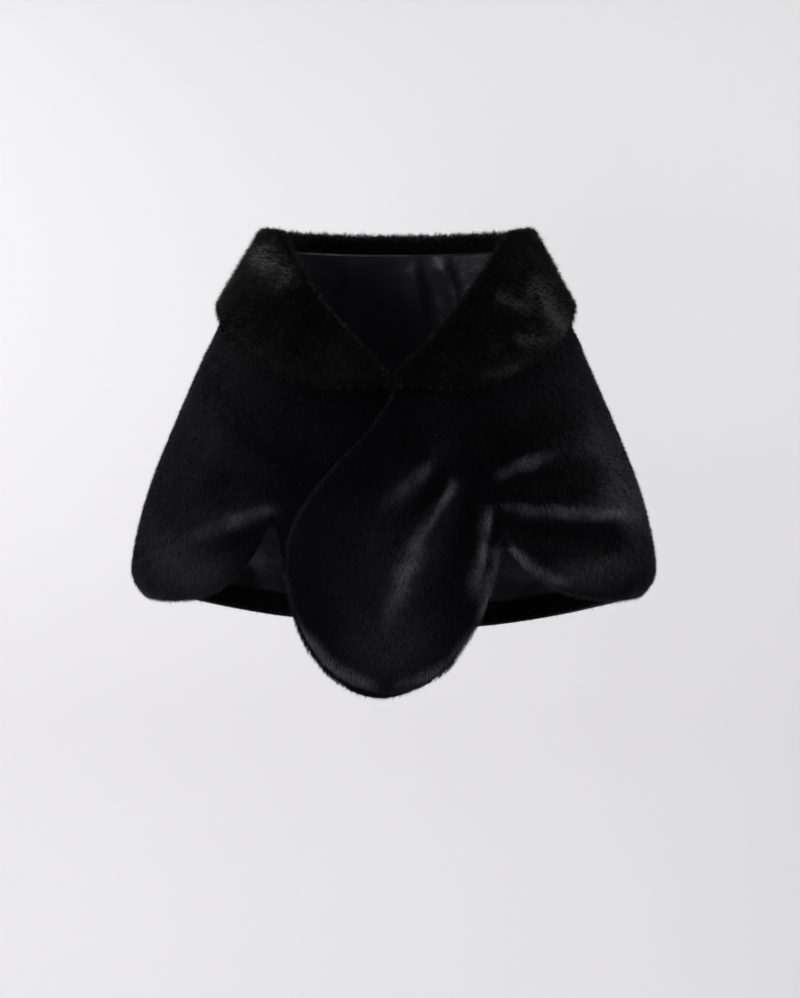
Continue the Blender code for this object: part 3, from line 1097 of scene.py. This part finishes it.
LIGHTS = (
    SoftLight("key", (-1.6, -0.60, 0.30), (0.0, 0.0, -0.28), 1.0, 27.0),
    SoftLight("fill", (1.6, -0.50, 0.25), (0.0, 0.0, -0.28), 1.0, 26.0),
    SoftLight("front", (-0.95, -1.9, -0.35), (0.0, 0.0, -0.40), 0.8, 9.0),
    SoftLight("overhead", (0.3, -0.5, 1.7), (0.0, 0.0, -0.2), 1.0, 9.0),
    SoftLight("wash", (-2.4, 0.1, 0.5), (-0.5, 1.1, -0.6), 1.2, 17.0),
)


@dataclass
class Studio:
    """A pale sweep behind and under the cape, soft lights and the camera."""

    wall_depth: float = 1.10
    floor_height: float = -1.40
    half_width: float = 4.0
    front: float = -5.0
    top: float = 3.0
    bend: float = 0.6
    bend_steps: int = 12
    paper: Colour = (0.755, 0.745, 0.755)
    paper_roughness: float = 0.95
    air: Colour = (0.93, 0.94, 1.0)
    air_strength: float = 0.12
    camera_distance: float = 3.2
    camera_tilt: float = math.radians(5.0)
    aim: Place = (0.011, 0.0, -0.293)
    picture_height: float = 1.3972      # metres across the picture's long side at the aim
    film: float = 36.0

    def build(self) -> None:
        """Makes the sweep, the lights, the light of the room and the camera."""
        self.sweep()
        for light in LIGHTS:
            light.build()
        world = bpy.data.worlds.new("studio")
        world.use_nodes = True
        air = world.node_tree.nodes["Background"]
        air.inputs["Color"].default_value = (*self.air, 1.0)
        air.inputs["Strength"].default_value = self.air_strength
        bpy.context.scene.world = world
        bpy.context.scene.view_settings.view_transform = "Standard"
        self.camera()

    def sweep(self) -> None:
        """Bends one sheet from the floor up into the wall; it is clear from behind."""
        bm = bmesh.new()
        middle = Vector((-self.half_width, self.wall_depth - self.bend, self.floor_height + self.bend))
        profile = [Vector((-self.half_width, self.front, self.floor_height))]
        for step in range(self.bend_steps + 1):
            turn = math.pi / 2 * step / self.bend_steps
            profile.append(middle + self.bend * Vector((0.0, math.sin(turn), -math.cos(turn))))
        profile.append(Vector((-self.half_width, self.wall_depth, self.top)))
        verts = [bm.verts.new(place) for place in profile]
        edges = [bm.edges.new(pair) for pair in zip(verts, verts[1:])]
        drawn = bmesh.ops.extrude_edge_only(bm, edges=edges)["geom"]
        bmesh.ops.translate(bm, vec=(2 * self.half_width, 0.0, 0.0),
                            verts=[item for item in drawn if isinstance(item, bmesh.types.BMVert)])
        bm.normal_update()
        if sum(face.normal.z - face.normal.y for face in bm.faces) < 0:
            bmesh.ops.reverse_faces(bm, faces=bm.faces[:])
        mesh = bpy.data.meshes.new("backdrop")
        bm.to_mesh(mesh)
        bm.free()
        shaded_smooth(mesh)
        mesh.materials.append(self.paper_finish())
        made = placed("backdrop", mesh)

    def paper_finish(self) -> bpy.types.Material:
        """Matt paper that can't be seen from its back.

        Returns:
            The material.
        """
        tree = FinishNodes("backdrop_paper")
        side = tree.step("ShaderNodeNewGeometry", {}, "Backfacing")
        clear = tree.step("ShaderNodeBsdfTransparent", {}, "BSDF")
        sides = {"Fac": side, 1: tree.shader.outputs["BSDF"], 2: clear}
        either = tree.step("ShaderNodeMixShader", sides, "Shader")
        tree.feed(tree.nodes["Material Output"].inputs["Surface"], either)
        return tree.dress({Socket.COLOUR: self.paper, Socket.ROUGHNESS: self.paper_roughness,
                           Socket.SPECULAR: 0.0})

    def camera(self) -> None:
        """Sets the camera a little above the cape, square to its front."""
        eye = bpy.data.cameras.new("camera")
        eye.sensor_width = self.film
        eye.lens = eye.sensor_width * self.camera_distance / self.picture_height
        made = placed("camera", eye)
        aim = Vector(self.aim)
        back = Vector((0.0, -math.cos(self.camera_tilt), math.sin(self.camera_tilt)))
        aimed(made, aim + self.camera_distance * back, aim)
        bpy.context.scene.camera = made


# Each crease: its start, bend and end as (across, level), then half width, height, painted light
# (highlight, or shade below nothing), rise and fade.
FRONT_LEFT_CREASES = (
    # ridges that fan out from the crossing, each with a painted highlight along it
    Crease((0.136, -0.290), (0.205, -0.302), (0.355, -0.312), 0.010, 0.001, 0.48, 0.12, 0.20),
    Crease((0.126, -0.256), (0.180, -0.239), (0.244, -0.212), 0.012, 0.002, 0.72, 0.35, 0.60),
    Crease((0.068, -0.220), (0.030, -0.252), (-0.020, -0.308), 0.010, 0.001, 0.42, 0.35, 0.50),
    Crease((0.088, -0.246), (0.066, -0.290), (0.032, -0.346), 0.006, 0.001, 0.62, 0.20, 0.45),
    Crease((0.052, -0.306), (0.020, -0.372), (-0.018, -0.484), 0.012, 0.001, 0.76, 0.45, 0.55),
    Crease((0.131, -0.284), (0.131, -0.345), (0.106, -0.430), 0.010, 0.001, 1.0),
    # troughs between them, most darkened with painted shade
    Crease((0.140, -0.318), (0.215, -0.340), (0.345, -0.346), 0.018, -0.004, -0.35),
    Crease((0.142, -0.290), (0.139, -0.345), (0.126, -0.408), 0.006, -0.006, -0.9),
    Crease((0.108, -0.250), (0.078, -0.330), (0.030, -0.455), 0.013, -0.004),
    Crease((0.074, -0.232), (0.034, -0.300), (-0.016, -0.380), 0.011, -0.003),
    Crease((0.130, -0.278), (0.205, -0.266), (0.310, -0.250), 0.017, -0.004, -1.0),
    Crease((0.120, -0.222), (0.185, -0.194), (0.260, -0.150), 0.026, -0.003, -0.9),
    # broad painted shade below the collar, painted sheen down the arm and low on it, and a painted
    # highlight above the arm opening
    Crease((-0.060, -0.120), (0.090, -0.190), (0.260, -0.240), 0.055, 0.0, -0.18, 0.40, 0.40),
    Crease((0.230, -0.150), (0.330, -0.260), (0.355, -0.380), 0.030, 0.0, 0.22, 0.50, 0.40),
    Crease((0.190, -0.380), (0.270, -0.402), (0.360, -0.360), 0.024, 0.0, 0.26, 0.40, 0.40),
    Crease((0.156, -0.346), (0.186, -0.386), (0.250, -0.404), 0.008, 0.0, 1.00, 0.10, 0.30),
    # the lappet: a low ridge, broad painted sheen and painted highlights along its rim
    Crease((-0.080, -0.330), (-0.060, -0.410), (-0.020, -0.480), 0.020, 0.002),
    Crease((-0.110, -0.450), (0.000, -0.520), (0.110, -0.450), 0.045, 0.0, 0.20, 0.50, 0.50),
    Crease((0.000, -0.240), (0.010, -0.380), (-0.020, -0.520), 0.075, 0.0, 0.11, 0.45, 0.45),
    Crease((-0.128, -0.440), (-0.100, -0.520), (-0.006, -0.541), 0.008, 0.0, 0.80, 0.20, 0.20),
    Crease((-0.006, -0.541), (0.085, -0.522), (0.118, -0.445), 0.007, 0.0, 0.55, 0.20, 0.20),
    Crease((0.112, -0.460), (0.136, -0.400), (0.143, -0.330), 0.007, 0.0, 0.70, 0.20, 0.20),
)
FRONT_RIGHT_CREASES = (
    # ridges from the crossing to the arm, the first with a painted highlight
    Crease((-0.140, -0.296), (-0.206, -0.299), (-0.310, -0.362), 0.010, 0.001, 0.36, 0.20, 0.55),
    Crease((-0.168, -0.322), (-0.225, -0.338), (-0.305, -0.382), 0.015, 0.004),
    Crease((-0.110, -0.255), (-0.180, -0.235), (-0.255, -0.190), 0.022, 0.002),
    Crease((-0.215, -0.150), (-0.245, -0.240), (-0.300, -0.330), 0.022, 0.002),
    # painted sheen low on the arm
    Crease((-0.170, -0.395), (-0.270, -0.410), (-0.370, -0.340), 0.040, 0.0, 0.20, 0.55, 0.35),
)
BACK_CREASES = (
    # soft folds that hang from the shoulders
    Crease((-0.030, -0.120), (-0.040, -0.290), (-0.045, -0.440), 0.018, -0.004),
    Crease((0.120, -0.140), (0.150, -0.300), (0.168, -0.470), 0.020, -0.004),
    Crease((-0.140, -0.200), (-0.150, -0.330), (-0.158, -0.480), 0.017, -0.004),
    Crease((0.020, -0.240), (0.034, -0.360), (0.042, -0.490), 0.015, 0.003),
    Crease((-0.235, -0.160), (-0.262, -0.280), (-0.290, -0.420), 0.020, -0.003),
    Crease((0.250, -0.190), (0.270, -0.300), (0.292, -0.400), 0.018, -0.004),
    # painted sheen of the arms, carried round the side seams
    Crease((0.230, -0.150), (0.330, -0.260), (0.355, -0.380), 0.030, 0.0, 0.22, 0.50, 0.40),
    Crease((-0.300, -0.405), (-0.345, -0.395), (-0.372, -0.330), 0.028, 0.0, 0.14, 0.55, 0.35),
)
COLLAR_LEFT_CREASES = (
    Crease((0.120, -0.020), (0.150, -0.060), (0.172, -0.108), 0.013, -0.003),
    Crease((0.172, 0.040), (0.205, 0.000), (0.222, -0.050), 0.014, -0.003),
    # ridges with painted highlights on the collar's outer side
    Crease((0.185, 0.020), (0.222, -0.020), (0.240, -0.085), 0.015, 0.002, 0.74),
    Crease((0.135, -0.004), (0.165, -0.020), (0.200, -0.030), 0.009, 0.002, 0.52),
    Crease((0.160, -0.070), (0.190, -0.064), (0.222, -0.075), 0.009, 0.002, 0.50),
    Crease((0.110, -0.128), (0.150, -0.124), (0.195, -0.100), 0.010, 0.001, 0.25),
    # painted shade along the line of the fold
    Crease((0.160, 0.080), (0.074, -0.036), (0.000, -0.134), 0.009, 0.0, -0.9, 0.10, 0.0),
)
COLLAR_RIGHT_CREASES = (
    Crease((-0.112, -0.014), (-0.146, -0.058), (-0.160, -0.108), 0.012, 0.003),
    Crease((-0.176, 0.036), (-0.198, 0.004), (-0.214, -0.046), 0.015, -0.003),
    # a ridge with a painted highlight on the collar's outer side
    Crease((-0.205, 0.050), (-0.160, 0.040), (-0.125, -0.004), 0.019, 0.002, 1.00),
    # painted shade along the line of the fold
    Crease((-0.150, 0.080), (-0.072, -0.036), (0.000, -0.134), 0.009, 0.0, -0.9, 0.10, 0.0),
)
LINING_RUMPLES = (
    Crease((0.020, 0.040), (0.045, 0.000), (0.040, -0.060), 0.010, 0.004),
    Crease((0.060, 0.045), (0.090, 0.010), (0.100, -0.060), 0.012, 0.005),
    Crease((-0.050, 0.042), (-0.070, 0.000), (-0.062, -0.070), 0.011, 0.004),
    Crease((0.180, -0.280), (0.205, -0.360), (0.215, -0.440), 0.014, 0.005),
    Crease((-0.175, -0.270), (-0.190, -0.350), (-0.205, -0.430), 0.013, 0.005),
    Crease((0.110, -0.200), (0.120, -0.320), (0.128, -0.430), 0.016, 0.004),
)

COLLAR_PILE = Pile(136000, length=0.0098, lift=0.88, lay=0.52, stray=0.26, uneven=0.0013,
                   tuft=0.0019, tuft_size=0.0070, guard_share=0.22, guard_proud=0.0048)
FACING_PILE = Pile(30000, length=0.006, short_of_tip=0.0006)
PANELS = (
    FurPanel("front_left", Pile(196000), Nap.DOWN, flat=(0.76, 0.49), area=0.210, lined=True,
             creases=FRONT_LEFT_CREASES, seed=3),
    FurPanel("front_right", Pile(186000), Nap.DOWN, flat=(0.75, 0.49), area=0.205, lined=True,
             creases=FRONT_RIGHT_CREASES, seed=4),
    FurPanel("back", Pile(196000), Nap.DOWN, flat=(0.88, 0.56), area=0.390, lined=True,
             creases=BACK_CREASES, seed=5),
    FurPanel("collar_left", COLLAR_PILE, Nap.OUT_AND_DOWN, flat=(0.50, 0.17), area=0.080,
             creases=COLLAR_LEFT_CREASES, seed=6, fur=Finish.COLLAR_FUR, front_only=True),
    FurPanel("collar_right", COLLAR_PILE, Nap.OUT_AND_DOWN, flat=(0.50, 0.17), area=0.080,
             creases=COLLAR_RIGHT_CREASES, seed=7, fur=Finish.COLLAR_FUR, front_only=True),
    FurPanel("hem_facing", FACING_PILE, Nap.DOWN, flat=(0.86, 0.03), area=0.025, seed=8,
             inset=0.0022, reach=0.004),
)
LINING = Lining("lining_back", flat=(0.84, 0.52), area=0.37, rumples=LINING_RUMPLES)


def main() -> None:
    """Dresses the cape and sets up its picture."""
    logging.basicConfig(level=logging.INFO, format="%(name)s: %(message)s")
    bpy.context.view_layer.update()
    finishes = {kind: finish.make() for kind, finish in FINISHES.items()}
    around = Surroundings(frame["nodes"])
    for panel in PANELS:
        panel.build(around, finishes)
    LINING.build(finishes)
    Studio().build()


if __name__ == "__main__":
    main()
